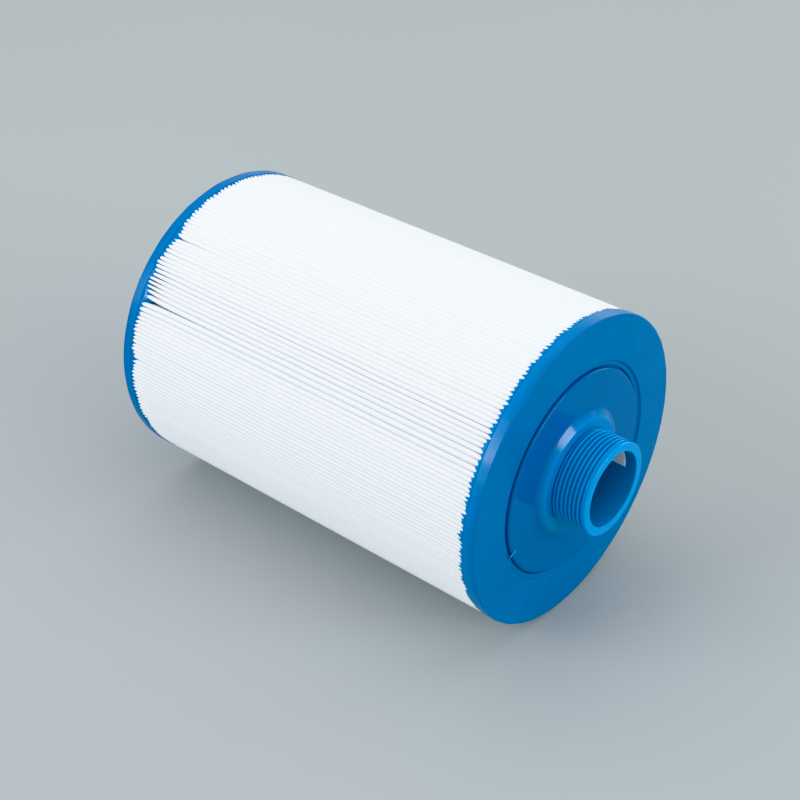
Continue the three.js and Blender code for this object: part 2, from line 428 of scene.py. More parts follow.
def moulded_plastic(colour):
    """Injection-moulded plastic: glossy, with slight flow marks, and paler where a painted glow is laid into
    its colour: along the nipple and towards the bottom of the bore, and less in the thread's grooves, where it
    stands for shade."""
    finish = Finish("moulded_plastic", colour, 0.12)
    finish.set(Specular_IOR_Level=0.5)
    flow = finish.ranged(finish.noise(22 * MM, 2), 0.3, 0.7, 0, 1)
    solid = finish.blend(flow, scaled(colour, 0.96), scaled(colour, 1.04))
    # painted light: the colour is made paler as a painted glow along the nipple and in the bore, less in the
    # thread's grooves
    body = finish.blend(finish.attribute("thin_and_painted_light"), solid, scaled(colour, PAINTED_GLOW))
    finish.link(body, "Base Color")
    finish.link(finish.ranged(finish.noise(5 * MM, 4), 0.3, 0.7, 0.10, 0.17), "Roughness")
    finish.bump(finish.noise(9 * MM, 1), 0.02 * MM, 0.6)
    return finish.material


def filter_cloth(colour):
    """White spunbonded cloth: soft, matt, with fibres along the strip and faint cloudy thickness."""
    finish = Finish("filter_cloth", colour, 0.92)
    finish.set(Specular_IOR_Level=0.2)
    cloudy = finish.ranged(finish.noise(5 * MM, 3), 0.3, 0.7, 0, 1)
    own = finish.attribute("fold")
    shares = (finish.combined("MULTIPLY", cloudy, 0.6), finish.combined("MULTIPLY", own, 0.4))
    tone = finish.combined("ADD", *shares)
    finish.link(finish.blend(tone, scaled(colour, 0.97), scaled(colour, 1.02)), "Base Color")
    fibres = finish.noise(0.35 * MM, 3, finish.stretched(0.45, 1, 1))
    finish.bump(fibres, 0.12 * MM, 0.7)
    return finish.material


def set_glue():
    """Hot-melt glue: off-white, smooth and slightly waxy."""
    finish = Finish("set_glue", GLUE, 0.4)
    finish.link(finish.ranged(finish.noise(3 * MM, 3), 0.3, 0.7, 0.32, 0.5), "Roughness")
    finish.bump(finish.noise(2 * MM, 2), 0.1 * MM)
    return finish.material


def blank_paper():
    """Plain label paper."""
    finish = Finish("blank_paper", PAPER, 0.6)
    mottled = finish.blend(finish.noise(1.5 * MM, 4), PAPER_DARK, PAPER_LIGHT)
    finish.link(mottled, "Base Color")
    finish.bump(finish.noise(0.4 * MM, 3), 0.02 * MM)
    return finish.material


def studio_paper(colour):
    """A seamless paper floor with the faintest unevenness."""
    finish = Finish("studio_paper", colour, 0.85)
    cloudy = finish.ranged(finish.noise(0.5, 2), 0.3, 0.7, 0, 1)
    finish.link(finish.blend(cloudy, scaled(colour, 0.985), scaled(colour, 1.015)), "Base Color")
    finish.set(Specular_IOR_Level=0.15)
    return finish.material


def the_material(name, make, *args):
    """A material that several pieces share, made when the first one asks for it."""
    return bpy.data.materials.get(name) or make(*args)


# ------------------------------------------------------------------ end caps

# The disc moulded into each cap, which is level with the cap's face, and what it is keyed to.
INSERT_RADIUS = 49.5 * MM
INSERT_BACK = 3.6 * MM  # depth of its inner side
FLANGE_RADIUS = 56 * MM  # of the rim round it, inside the cast plastic
FLANGE_STEP = 2.5 * MM  # depth of that rim's outer side
FIT_GAP = 0.3 * MM
CORE_RADIUS = 26.2 * MM
CORE_BORE = 24.2 * MM
POTTING = 3.0 * MM  # depth of the cloth's ends under each cap's face

# The groove round the disc: a steep outer wall, and a floor that slopes on down to a slot at the disc.
GROOVE_RADIUS = 53.0 * MM
GROOVE_WALL = 0.5 * MM
GROOVE_FOOT = 1.1 * MM
GROOVE_DEPTH = 1.3 * MM
SLOT_TOP = 1.0 * MM
SLOT_BOTTOM = 0.8 * MM

# The cast plastic that climbs between the pleats: how far in it reaches from the cap's side, where it
# is level behind that, and the waves that make it uneven.
CLIMB_WIDTH = 2.5 * MM
CLIMB_INSET = 0.1 * MM
LEVEL_WIDTH = 1.3 * CLIMB_WIDTH
INNER_FACE_WIDTH = 2.4 * CLIMB_WIDTH
CLIMB_POINTS = 10
CLIMB_WAVES = ((range(18, 70), 0.32 * MM), (range(90, 200), 0.22 * MM))
CAP_COLUMNS = 1248  # six to a pleat
CAP_ANGLES = np.linspace(0, TURN, CAP_COLUMNS, endpoint=False)

# The cast side's own unevenness: of its edge, and of its radius, which stays inside the true one.
EDGE_WAVES = range(6, 40)
SIDE_WAVES = range(12, 48)
SIDE_WAVE = 0.05 * MM
SIDE_INSET = 0.1 * MM

# At the near cap the climb has a tooth in the gap beside each pleat. At the far cap it is less hollow,
# and the plastic is thicker over the cloth.
TOOTH = 0.9 * MM
NEAR_CLIMB, FAR_CLIMB = 0.75, 0.7
NEAR_HOLLOW, FAR_HOLLOW = 2.0, 1.25
FAR_SIDE_DROP = 0.6 * MM
FAR_THINNESS = 0.3

# Angles at the closed end where the pleats part and the cast plastic shows between them, in degrees,
# with how far each gap opens at the cap, in degrees, and how far the plastic has risen in it.
PARTINGS = (
    (32.4, 0.65, 3.8 * MM),
    (57.9, 1.10, 3.3 * MM),
    (82.4, 0.50, 2.2 * MM),
    (131.0, 0.50, 1.6 * MM),
    (187.0, 0.35, 1.2 * MM),
    (236.0, 0.60, 1.9 * MM),
    (301.0, 0.45, 1.5 * MM),
    (348.0, 0.30, 1.2 * MM),
)
CUSP_WIDTH = np.radians(3.4)


def cap_outline(side, climb, hollow):
    """The cap's section from its inner face out over the pleats' tips, up the side and across the face.

    The part that climbs between the pleats is a slope whose depth grows with a power of the distance, so
    that it steepens inwards and runs out between the rounded tips in points. Returns the outline and, for
    each of its points, how much of the climb's unevenness it takes.
    """
    t = np.linspace(1, 0.03, CLIMB_POINTS)
    inwards = CLIMB_INSET + CLIMB_WIDTH * t**hollow
    slope = np.stack([CAP_RADIUS - inwards, -side - climb * t], 1)
    share = smooth_step(t, 0, 0.3)
    step, back = -FLANGE_STEP + FIT_GAP, -INSERT_BACK - FIT_GAP
    body = rounded(
        [
            (CAP_RADIUS, -side, 0.25 * MM),
            (CAP_RADIUS, 0, 0.55 * MM),
            (GROOVE_RADIUS, 0, 0.5 * MM),
            (GROOVE_RADIUS - GROOVE_WALL, -GROOVE_FOOT, 0.3 * MM),
            (INSERT_RADIUS + SLOT_TOP, -GROOVE_DEPTH, 0.2 * MM),
            (INSERT_RADIUS + SLOT_BOTTOM, step, 0.1 * MM),
            (FLANGE_RADIUS + FIT_GAP, step, 0.1 * MM),
            (FLANGE_RADIUS + FIT_GAP, back, 0.1 * MM),
            (CORE_RADIUS + FIT_GAP, back, 0.1 * MM),
            (CORE_RADIUS + FIT_GAP, -side - climb, 0.3 * MM),
            (CAP_RADIUS - INNER_FACE_WIDTH, -side - climb, 0.3 * MM),
        ],
        steps=3,
    )
    level = np.array([[CAP_RADIUS - LEVEL_WIDTH, -side - climb]])
    outline = np.concatenate([level, slope, body])
    return outline, np.concatenate([[1.0], share, np.zeros(len(body))])


def end_cap(side, climb, hollow, seed, rises):
    """A cast ring: the outline turned about the axis, with the climb made uneven round it by random
    waves, on top of the given rise at each angle. Also returns how thin the plastic is at each point: 1
    where it runs out over the cloth, about half of that at the side's edge and 0 elsewhere."""
    outline, share = cap_outline(side, climb, hollow)
    radius, x = outline[:, :1], outline[:, 1:]
    waves = [
        ripple(CAP_ANGLES, seed + n, *climb_wave) for n, climb_wave in enumerate(CLIMB_WAVES)
    ]
    edge_wave = ripple(CAP_ANGLES, seed + 2, EDGE_WAVES, SIDE_WAVE)
    side_wave = ripple(CAP_ANGLES, seed + 3, SIDE_WAVES, SIDE_WAVE)
    on_side = radius > CAP_RADIUS - 0.5 * MM
    at_edge = np.isclose(x, -side, atol=0.4 * MM) & (radius > CAP_RADIUS - MM)
    uneven_x = x - share[:, None] * (sum(waves) + rises) + at_edge * edge_wave
    uneven_radius = radius + on_side * (side_wave - SIDE_INSET)
    points = about_axis(uneven_x, uneven_radius, CAP_ANGLES).reshape(-1, 3)
    side_end = (on_side & (x < -side + 0.5 * MM))[:, 0]
    thin_and_painted_light = np.repeat(np.maximum(share, 0.55 * side_end), CAP_COLUMNS)
    return points, [grid_faces(len(outline), CAP_COLUMNS, True, True)], thin_and_painted_light


def between_pleats(sizes):
    """A saw-tooth round the near cap: 0 on the middle of each pleat and 1 in the gap beside it."""
    ends = np.concatenate([[0], np.cumsum(fold_spacing(sizes.pleats, sizes.seam_angle))])
    along = np.interp((CAP_ANGLES - sizes.seam_angle) % TURN, ends, np.arange(len(ends)))
    return np.abs(2 * (along % 1) - 1)


def at_partings():
    """How far the plastic is drawn up round the far cap: to a cusp wherever the pleats part."""
    return sum(
        rise * np.exp(-np.abs(away_from(np.radians(where), CAP_ANGLES)) / CUSP_WIDTH)
        for where, _, rise in PARTINGS
    )


class CARTRIDGE_OT_end_caps(bpy.types.Operator):
    """Casts the two blue end caps round the ends of the cloth"""

    bl_idname = "cartridge.end_caps"
    bl_label = "End Caps"

    def execute(self, context):
        sizes, colours = context.scene.cartridge_sizes, context.scene.cartridge_colours
        material = the_material("cast_plastic", cast_plastic, colours.cast)
        side, climb = sizes.cap_side, sizes.climb
        teeth = TOOTH * between_pleats(sizes)
        *near, near_thin = end_cap(side, NEAR_CLIMB * climb, NEAR_HOLLOW, 11, teeth)
        *far, far_thin = end_cap(
            side - FAR_SIDE_DROP, FAR_CLIMB * climb, FAR_HOLLOW, 23, at_partings()
        )
        for name, node, (points, faces), thin_and_painted_light in (
            ("threaded_cap", "threaded_end_cap", near, near_thin),
            ("closed_cap", "closed_end_cap", mirrored(*far), FAR_THINNESS * far_thin),
        ):
            piece = new_piece(name, points, faces, material)
            add_shade(piece, "thin_and_painted_light", thin_and_painted_light)
            settle(piece, node)
        return {"FINISHED"}


# ------------------------------------------------------------------ outlet

BORE_RADIUS = 18.1 * MM
THROAT = INSERT_BACK + MM  # depth from which the bore widens towards the core
CREST_RADIUS = 22.7 * MM
THREAD_DEPTH = 1.25 * MM
THREAD_FROM = 3.3 * MM
THREAD_TO = 18.3 * MM
THREAD_STEPS = 14  # rows in one pitch
CREST_SHARE, ROOT_SHARE = 0.40, 0.92  # where a groove's flank starts and ends, in half pitches
LAND_RADIUS = 22.5 * MM
COLLAR_RADIUS = 27.0 * MM
COLLAR_TOP = 2.9 * MM
FLARE_RADIUS = 31.1 * MM  # where the collar's cone would meet the disc
OUTLET_EDGE = 2.3 * MM  # rounding of the disc's rim, and of the foot of the cone
SPIGOT_WALL = 2.0 * MM
SPIGOT_ROOT = 4.2 * MM  # height of the cone inside the spigot
SPIGOT_END = 12.0 * MM
OUTLET_COLUMNS = 240

# The stub left on the disc where the plastic was let into the mould.
NIB_RADIUS = 48.4 * MM
NIB_ANGLE = np.radians(112.5)
NIB_HALF_LENGTH = 3.9 * MM
NIB_HALF_WIDTH = 0.9 * MM
NIB_FOOT = -0.3 * MM
NIB_HEIGHT = 0.6 * MM
# a little painted glow on the gate nib, which makes it paler
NIB_PAINTED_GLOW = 0.2

# The label on the wall of the bore.
LABEL_ANGLES = np.radians((-92, -55))
LABEL_X = (3.5 * MM, 14.6 * MM)
LABEL_LIFT = 0.05 * MM
LABEL_THICKNESS = 0.12 * MM


def outlet_outline(pitch):
    """The fitting's section, and for each of its points 1 where the thread is cut and 0 elsewhere."""
    spigot, root = CORE_BORE - FIT_GAP, CREST_RADIUS - THREAD_DEPTH
    body = rounded(
        [
            (BORE_RADIUS, -THROAT, 1.0 * MM),
            (spigot - SPIGOT_WALL, -INSERT_BACK - SPIGOT_ROOT, 1.0 * MM),
            (spigot - SPIGOT_WALL, -SPIGOT_END, 0.3 * MM),
            (spigot, -SPIGOT_END, 0.3 * MM),
            (spigot, -INSERT_BACK, 0.2 * MM),
            (FLANGE_RADIUS, -INSERT_BACK, 0.2 * MM),
            (FLANGE_RADIUS, -FLANGE_STEP, 0.2 * MM),
            (INSERT_RADIUS, -FLANGE_STEP, 0.1 * MM),
            (INSERT_RADIUS, 0, OUTLET_EDGE),
            (FLARE_RADIUS, 0, OUTLET_EDGE),
            (COLLAR_RADIUS, COLLAR_TOP, 0.3 * MM),
            (root, COLLAR_TOP, 0.12 * MM),
            (root, OUTLET_LENGTH, 0.1 * MM),
        ],
        steps=5,
        leads=(1, 1),
    )
    rows = int(round((THREAD_TO - THREAD_FROM) / pitch * THREAD_STEPS)) + 1
    thread = np.stack([np.full(rows, CREST_RADIUS), np.linspace(THREAD_FROM, THREAD_TO, rows)], 1)
    end = rounded(
        [
            (LAND_RADIUS, THREAD_TO + 0.15 * MM, 0.02 * MM),
            (LAND_RADIUS, OUTLET_LENGTH, 1.5 * MM),
            (BORE_RADIUS, OUTLET_LENGTH, 0.5 * MM),
            (BORE_RADIUS, -THROAT, 1.0 * MM),
            (CORE_RADIUS, -INSERT_BACK, 0.1 * MM),
        ],
        steps=6,
        leads=(1, 1),
    )
    parts = [body, thread, end]
    cut = np.concatenate([np.full(len(part), float(part is thread)) for part in parts])
    return np.concatenate(parts), cut


def gate_nib():
    """A low dome, longer along the radius than across it, whose height falls off with the square of the
    distance from its middle, down to a foot below the disc's face."""
    out = np.linspace(1, 0, 8, endpoint=False)[:, None]
    turn = np.linspace(0, TURN, 28, endpoint=False)[None, :]
    radius = NIB_RADIUS + NIB_HALF_LENGTH * out * np.cos(turn)
    angle = NIB_ANGLE + NIB_HALF_WIDTH * out * np.sin(turn) / radius
    height = NIB_FOOT + NIB_HEIGHT * (1 - out**2) + 0 * turn
    ends = np.array([NIB_FOOT - 0.5 * MM, height.max() + 0.02 * MM])
    return capped(about_axis(height, radius, angle), about_axis(ends, NIB_RADIUS, NIB_ANGLE))


def outlet(pitch):
    """Disc, collar and nipple: the outline turned about the axis. In the thread each point moves in by a
    depth that depends on how many pitches it lies along the nipple less how many turns round it, so the
    grooves form a right-hand screw with flat crests and rounded roots.

    Also returns how much painted light goes into the colour at each point: a painted glow that grows along the
    nipple and is less in the grooves, as painted shade, and in the bore painted light that goes as a cosine of
    the angle, from least near the top to most below."""
    outline, cut = outlet_outline(pitch)
    angle = np.linspace(0, TURN, OUTLET_COLUMNS, endpoint=False)[None, :]
    x, cut = outline[:, 1, None], cut[:, None]
    wave = np.abs(2 * ((x / pitch - angle / TURN) % 1) - 1)
    groove = smooth_step(wave, CREST_SHARE, ROOT_SHARE)
    groove = groove * (1 - smooth_step(x, THREAD_TO - 0.7 * MM, THREAD_TO))
    groove = np.maximum(groove, 1 - smooth_step(x, THREAD_FROM, THREAD_FROM + 0.35 * MM))
    taper = (CREST_RADIUS - LAND_RADIUS) * smooth_step(x, THREAD_TO - 1.2 * MM, THREAD_TO)
    radius = outline[:, 0, None] - cut * (THREAD_DEPTH * groove + taper)
    points = about_axis(x, radius, angle).reshape(-1, 3)
    in_bore = outline[:, :1] < BORE_RADIUS + 0.1 * MM
    # painted glow along the nipple, and painted light in the bore, least near its top and most below
    thin_and_painted_light = smooth_step(x, 0, 5 * MM) * np.where(in_bore, 0.4 - 0.35 * np.cos(angle - 0.5), 1)
    # painted shade: less glow in the thread's grooves
    thin_and_painted_light = thin_and_painted_light * (1 - 0.65 * cut * groove)
    return points, [grid_faces(len(outline), OUTLET_COLUMNS, True, True)], thin_and_painted_light.ravel()


def bore_label():
    """A curved sheet against the wall of the bore: a face on each side and a strip round its edge."""
    across, along = np.linspace(*LABEL_ANGLES, 24), np.linspace(*LABEL_X, 16)
    sides = [
        about_axis(along[:, None], BORE_RADIUS - LABEL_LIFT - depth, across[None, :])
        for depth in (0, LABEL_THICKNESS)
    ]
    rows, columns = len(along), len(across)
    sheet = grid_faces(rows, columns, False, False)
    index = np.arange(rows * columns).reshape(rows, columns)
    rim = np.concatenate([index[0, :-1], index[:-1, -1], index[-1, :0:-1], index[:0:-1, 0]])
    after, offset = np.roll(rim, -1), rows * columns
    edge = np.stack([after, rim, rim + offset, after + offset], 1)
    return np.concatenate(sides).reshape(-1, 3), [sheet, sheet[:, ::-1] + offset, edge]


class CARTRIDGE_OT_outlet(bpy.types.Operator):
    """Moulds the disc with its collar, threaded nipple and gate nib"""

    bl_idname = "cartridge.outlet"
    bl_label = "Threaded Outlet"

    def execute(self, context):
        scene = context.scene
        material = the_material("moulded_plastic", moulded_plastic, scene.cartridge_colours.moulded)
        *fitting, thin_and_painted_light = outlet(scene.cartridge_sizes.thread_pitch)
        nib = gate_nib()
        piece = new_piece("threaded_outlet", *joined(fitting, nib), material)
        # the painted glow and shade for the material; the nib takes a little of the glow
        add_shade(piece, "thin_and_painted_light", np.concatenate([thin_and_painted_light, np.full(len(nib[0]), NIB_PAINTED_GLOW)]))
        settle(piece, "threaded_fitting")
        return {"FINISHED"}


class CARTRIDGE_OT_label(bpy.types.Operator):
    """Sticks the small blank label to the wall of the bore"""

    bl_idname = "cartridge.label"
    bl_label = "Bore Label"

    def execute(self, context):
        material = the_material("blank_paper", blank_paper)
        settle(new_piece("bore_label_paper", *bore_label(), material), "bore_label")
        return {"FINISHED"}


# ------------------------------------------------------------------ handle

HANDLE_HALF_SPAN = 36 * MM
HANDLE_BAR = 5 * MM
HANDLE_WIDTH = 14 * MM
HANDLE_ROOT = -0.8 * MM  # where the bar starts, just inside the disc
FOOT_LENGTH = 0.16  # of the thicker part at each foot, in radians along the bow
FOOT_THICKER, FOOT_WIDER = 0.9, 0.28
DISC_EDGE = 1.5 * MM
DISC_COLUMNS = 180


def closed_disc():
    """The closed insert: a solid disc with a stepped rim and a ring behind it that fits in the core."""
    spigot = CORE_BORE - FIT_GAP
    corners = rounded(
        [
            (0.0, -THROAT, 0.1 * MM),
            (2 * MM, -INSERT_BACK, 0.1 * MM),
            (spigot - SPIGOT_WALL, -INSERT_BACK, 0.4 * MM),
            (spigot - SPIGOT_WALL, -SPIGOT_END, 0.3 * MM),
            (spigot, -SPIGOT_END, 0.3 * MM),
            (spigot, -INSERT_BACK, 0.2 * MM),
            (FLANGE_RADIUS, -INSERT_BACK, 0.2 * MM),
            (FLANGE_RADIUS, -FLANGE_STEP, 0.2 * MM),
            (INSERT_RADIUS, -FLANGE_STEP, 0.1 * MM),
            (INSERT_RADIUS, 0, DISC_EDGE),
            (4 * MM, 0, 0.1 * MM),
        ],
        steps=4,
        leads=(1, 0),
    )
    back, front = np.array([[0.0, -INSERT_BACK]]), np.array([[0.0, 0.0]])
    return turned(np.concatenate([back, corners, front]), DISC_COLUMNS)


def handle_bow():
    """The handle: a rounded bar carried along half an ellipse, from one foot to the other. The bar's
    section is a squared-off oval, and it thickens smoothly into both feet."""
    along = np.linspace(0, np.pi, 61)[:, None]
    around = np.linspace(0, TURN, 40, endpoint=False)[None, :]
    span = HANDLE_HALF_SPAN - HANDLE_BAR / 2
    rise = -HANDLE_TOP - BODY_LENGTH - HANDLE_ROOT - HANDLE_BAR / 2
    foot = np.exp(-((np.minimum(along, np.pi - along) / FOOT_LENGTH) ** 2))
    thick = HANDLE_BAR / 2 * (1 + FOOT_THICKER * foot)
    wide = HANDLE_WIDTH / 2 * (1 + FOOT_WIDER * foot)
    squared = (np.abs(np.cos(around)) ** 4 + np.abs(np.sin(around)) ** 4) ** -0.25
    out, side = thick * np.cos(around) * squared, wide * np.sin(around) * squared
    slope = np.stack([rise * np.cos(along), span * np.sin(along)], -1)
    slope = slope / np.linalg.norm(slope, axis=-1, keepdims=True)
    y = span * np.cos(along) + out * slope[..., 0]
    x = HANDLE_ROOT + rise * np.sin(along) + out * slope[..., 1]
    return capped(np.stack([FACE_X + x, y, AXIS_Z + side + 0 * x], -1))


class CARTRIDGE_OT_handle(bpy.types.Operator):
    """Moulds the closed disc with its lifting handle"""

    bl_idname = "cartridge.handle"
    bl_label = "Handle and Disc"

    def execute(self, context):
        colour = context.scene.cartridge_colours.moulded
        material = the_material("moulded_plastic", moulded_plastic, colour)
        points, faces = mirrored(*joined(closed_disc(), handle_bow()))
        settle(new_piece("handle_disc", points, faces, material), "handle_insert")
        return {"FINISHED"}


# ------------------------------------------------------------------ core

WINDOW_ROWS = 8
WINDOWS_ROUND = 6
WINDOW_LENGTH = 14 * MM
WINDOW_PITCH = 23 * MM
WINDOW_SPAN = np.radians(30)
WINDOW_STEPS = 8  # blocks across a window, and across the strip beside it
CORE_EDGE = 0.3 * MM


def core_tube():
    """The perforated tube, made of curved blocks on a grid of stations and angles. A block is left out
    where a window is, and each remaining block shows a wall wherever its neighbour is missing."""
    ends = np.array([-BODY_LENGTH + INSERT_BACK + FIT_GAP, -INSERT_BACK - FIT_GAP])
    first = -BODY_LENGTH / 2 - (WINDOW_ROWS - 1) / 2 * WINDOW_PITCH
    centres = first + WINDOW_PITCH * np.arange(WINDOW_ROWS)
    edges = [centres - WINDOW_LENGTH / 2, centres + WINDOW_LENGTH / 2, ends]
    stations = np.sort(np.concatenate(edges))
    pitch = TURN / WINDOWS_ROUND
    across = np.concatenate(
        [
            np.linspace(0, WINDOW_SPAN, WINDOW_STEPS, endpoint=False),
            np.linspace(WINDOW_SPAN, pitch, WINDOW_STEPS, endpoint=False),
        ]
    )
    angles = (pitch * np.arange(WINDOWS_ROUND)[:, None] + across[None, :]).ravel()
    columns = len(angles)
    row_open = np.arange(len(stations) - 1) % 2 == 1
    column_open = np.arange(columns) % (2 * WINDOW_STEPS) < WINDOW_STEPS
    solid = ~(row_open[:, None] & column_open[None, :])
    shells = [
        about_axis(stations[:, None], radius, angles[None, :]).reshape(-1, 3)
        for radius in (CORE_RADIUS, CORE_BORE)
    ]
    points = np.concatenate(shells)
    inside = len(shells[0])
    i, j = np.nonzero(solid)
    a, b = i * columns + j, i * columns + (j + 1) % columns
    c, d = b + columns, a + columns
    faces = [np.stack([a, b, c, d], 1), np.stack([d, c, b, a], 1) + inside]
    padded = np.pad(solid, ((1, 1), (0, 0)))
    for missing, start, end in (
        (~padded[:-2], a, b),
        (~padded[2:], c, d),
        (~np.roll(solid, -1, 1), b, c),
        (~np.roll(solid, 1, 1), d, a),
    ):
        keep = missing[i, j]
        first_edge, last_edge = start[keep], end[keep]
        wall = [last_edge, first_edge, first_edge + inside, last_edge + inside]
        faces.append(np.stack(wall, 1))
    used = np.unique(np.concatenate([face.ravel() for face in faces]))
    renumber = np.zeros(len(points), int)
    renumber[used] = np.arange(len(used))
    return points[used], [renumber[face] for face in faces]


class CARTRIDGE_OT_core(bpy.types.Operator):
    """Moulds the perforated tube that holds the pleats apart"""

    bl_idname = "cartridge.core"
    bl_label = "Core"

    def execute(self, context):
        colour = context.scene.cartridge_colours.moulded
        material = the_material("moulded_plastic", moulded_plastic, colour)
        piece = new_piece("core_tube", *core_tube(), material, smooth=False)
        bevel = piece.modifiers.new("edges", "BEVEL")
        bevel.width = CORE_EDGE
        bevel.segments = 2
        bevel.limit_method = "ANGLE"
        bevel.angle_limit = np.radians(40)
        settle(piece, "centre_core")
        return {"FINISHED"}


# ------------------------------------------------------------------ cloth

TIP_DEPTH = 0.46 * MM
TIP_DEPTH_AT_CAPS = 0.95 * MM
TIP_GAP = 0.035 * MM  # between one tip and the next, at the usual spacing
TIP_UNEVENNESS = 0.12 * MM
WANDER = 0.045 * MM
SWAY = 0.05 * MM

# How the pleats differ round the pack: the middle and the width of each place in degrees, and what is
# added there to the width of a pleat, the gap beside its tip, the pinch at the far cap and its depth.
WIDER = (
    (59.8, 3.2, 0.34),
    (75.0, 6.0, -0.11),
    (139.0, 5.0, 0.24),
    (158.0, 8.0, -0.09),
    (214.0, 4.0, 0.28),
    (262.0, 6.0, 0.16),
    (318.0, 5.0, 0.22),
    (5.0, 7.0, 0.10),
)
MORE_GAP = (52.0, 8.0, 0.04 * MM)
MORE_PINCH = ((51.0, 8.0, 0.36), (54.5, 3.0, 0.25))
DEEPER = ((52.0, 9.0, 0.4), (-4.0, 24.0, -0.6), (92.0, 22.0, -0.45))

# The path of the cloth through one pleat: the inner fold, a wall's foot and shoulder, five points over
# the tip, and the other wall's shoulder and foot. Sides are in half widths.
TIP_LEANS = np.radians([-84, -46, 0, 46, 84])
PATH_SIDES = np.concatenate([[0, -1, -1], np.sin(TIP_LEANS), [1, 1]])
PATH_RISES = np.concatenate([[0, 0, 0], np.cos(TIP_LEANS), [0, 0]])
PATH_POINTS = len(PATH_SIDES)
AT_FOLD = np.arange(PATH_POINTS) == 0
AT_TIP = np.isin(np.arange(PATH_POINTS), (2, 3, 4, 5, 6, 7, 8))
AT_SHOULDER = np.isin(np.arange(PATH_POINTS), (2, 8))
SHOULDER_DROP = 1.8 * MM
FOOT_RISE = 0.5 * MM
WALL_HALF_WIDTH = 0.2 * MM

# The film of glue where the strip's ends meet.
SEAM_DEPTH = 4.0 * MM  # of its middle, under the caps' side
SEAM_HALF_HEIGHT = 1.2 * MM
SEAM_HALF_WIDTH = 0.1 * MM

# Stations along the pack as shares of its length, closer together near the caps.
STATIONS = np.concatenate(
    [
        [0, 0.016, 0.026, 0.038, 0.055, 0.08, 0.12],
        np.linspace(0.18, 0.82, 10),
        [0.87, 0.905, 0.935, 0.96, 0.978, 1],
    ]
)


def fold_spacing(count, seam):
    """How wide each pleat is, in radians, adding up to one turn from the seam: loose in some places,
    crowded in others, and nowhere quite even."""
    random = np.random.default_rng(5)
    where = np.degrees(seam) + (np.arange(count) + 0.5) * 360 / count
    width = 1 + 0.05 * np.clip(random.normal(0, 1, count), -1.6, 1.6)
    for centre, spread, extra in WIDER:
        width += extra * bell(where, centre, spread)
    return width * TURN / width.sum()


def parted(angle, depth):
    """How far a pleat at that angle leans away from each parting at the closed end: to either side of it,
    fading round the pack and along the pleat."""
    lean = 0 * angle
    for where, opening, _ in PARTINGS:
        away = away_from(np.radians(where), angle)
        fade = np.exp(-np.abs(away) / np.radians(4.5))
        lean = lean + np.radians(opening) * np.tanh(away / np.radians(0.6)) * fade
    return lean * np.exp(-depth / (16 * MM))


def tip_angles(sizes, x, depth, own, tip_radius):
    """The angle of every tip at every station. The tips are unevenly spaced, lean away from the partings,
    and wander along the pack: in one slow wave that neighbours share, and each a little on its own."""
    spacing = fold_spacing(sizes.pleats, sizes.seam_angle)
    ends = sizes.seam_angle + np.concatenate([[0], np.cumsum(spacing)])
    tip = ((ends[1:] + ends[:-1]) / 2)[None, :]
    wander = ripple(tip + 6 * x, 31, range(8, 34), WANDER)
    sway = SWAY * own[0] * np.sin(18 * x + 3 * own[1])
    return tip + parted(tip, depth) + (wander + sway) / tip_radius


def tip_shapes(count, tip, x, depth, own, tip_radius):
    """Half of every tip's width over the cloth at every station, the share of it that is pinched away at
    the caps, and the tip's depth. A tip is as wide as the room that its neighbours leave, less a gap.
    It is deeper where it has more room, and deepest at the caps."""
    room = np.diff(np.concatenate([tip[:, -1:] - TURN, tip, tip[:, :1] + TURN], 1)) * tip_radius
    free = np.minimum(room[:, 1:], room[:, :-1]) / 2
    even_room = TURN / count * tip_radius
    crowding = np.clip(2 * free / even_room, 0.7, 1.5)
    where = np.degrees(tip)
    at_near = np.exp(-(((x + POTTING) / (4.5 * MM)) ** 2))
    at_far = np.exp(-((depth / (7 * MM)) ** 2))
    *gap_place, more_gap = MORE_GAP
    gap = TIP_GAP / 2 * (0.4 + 1.2 * np.abs(own[1]) * crowding**6)
    gap = gap + more_gap * bell(where, *gap_place)
    half = free - gap - 0.06 * np.maximum(free - even_room / 2, 0)
    pinch = 0.10 + sum(more * bell(where, *place) for *place, more in MORE_PINCH)
    pinch = pinch * np.exp(-((depth / (9 * MM)) ** 2)) + 0.30 * at_near
    plain = TIP_DEPTH * crowding**2.5
    for *place, more in DEEPER:
        plain = plain * (1 + more * bell(where, *place))
    return half, pinch, plain + (TIP_DEPTH_AT_CAPS - plain) * (at_near + at_far)


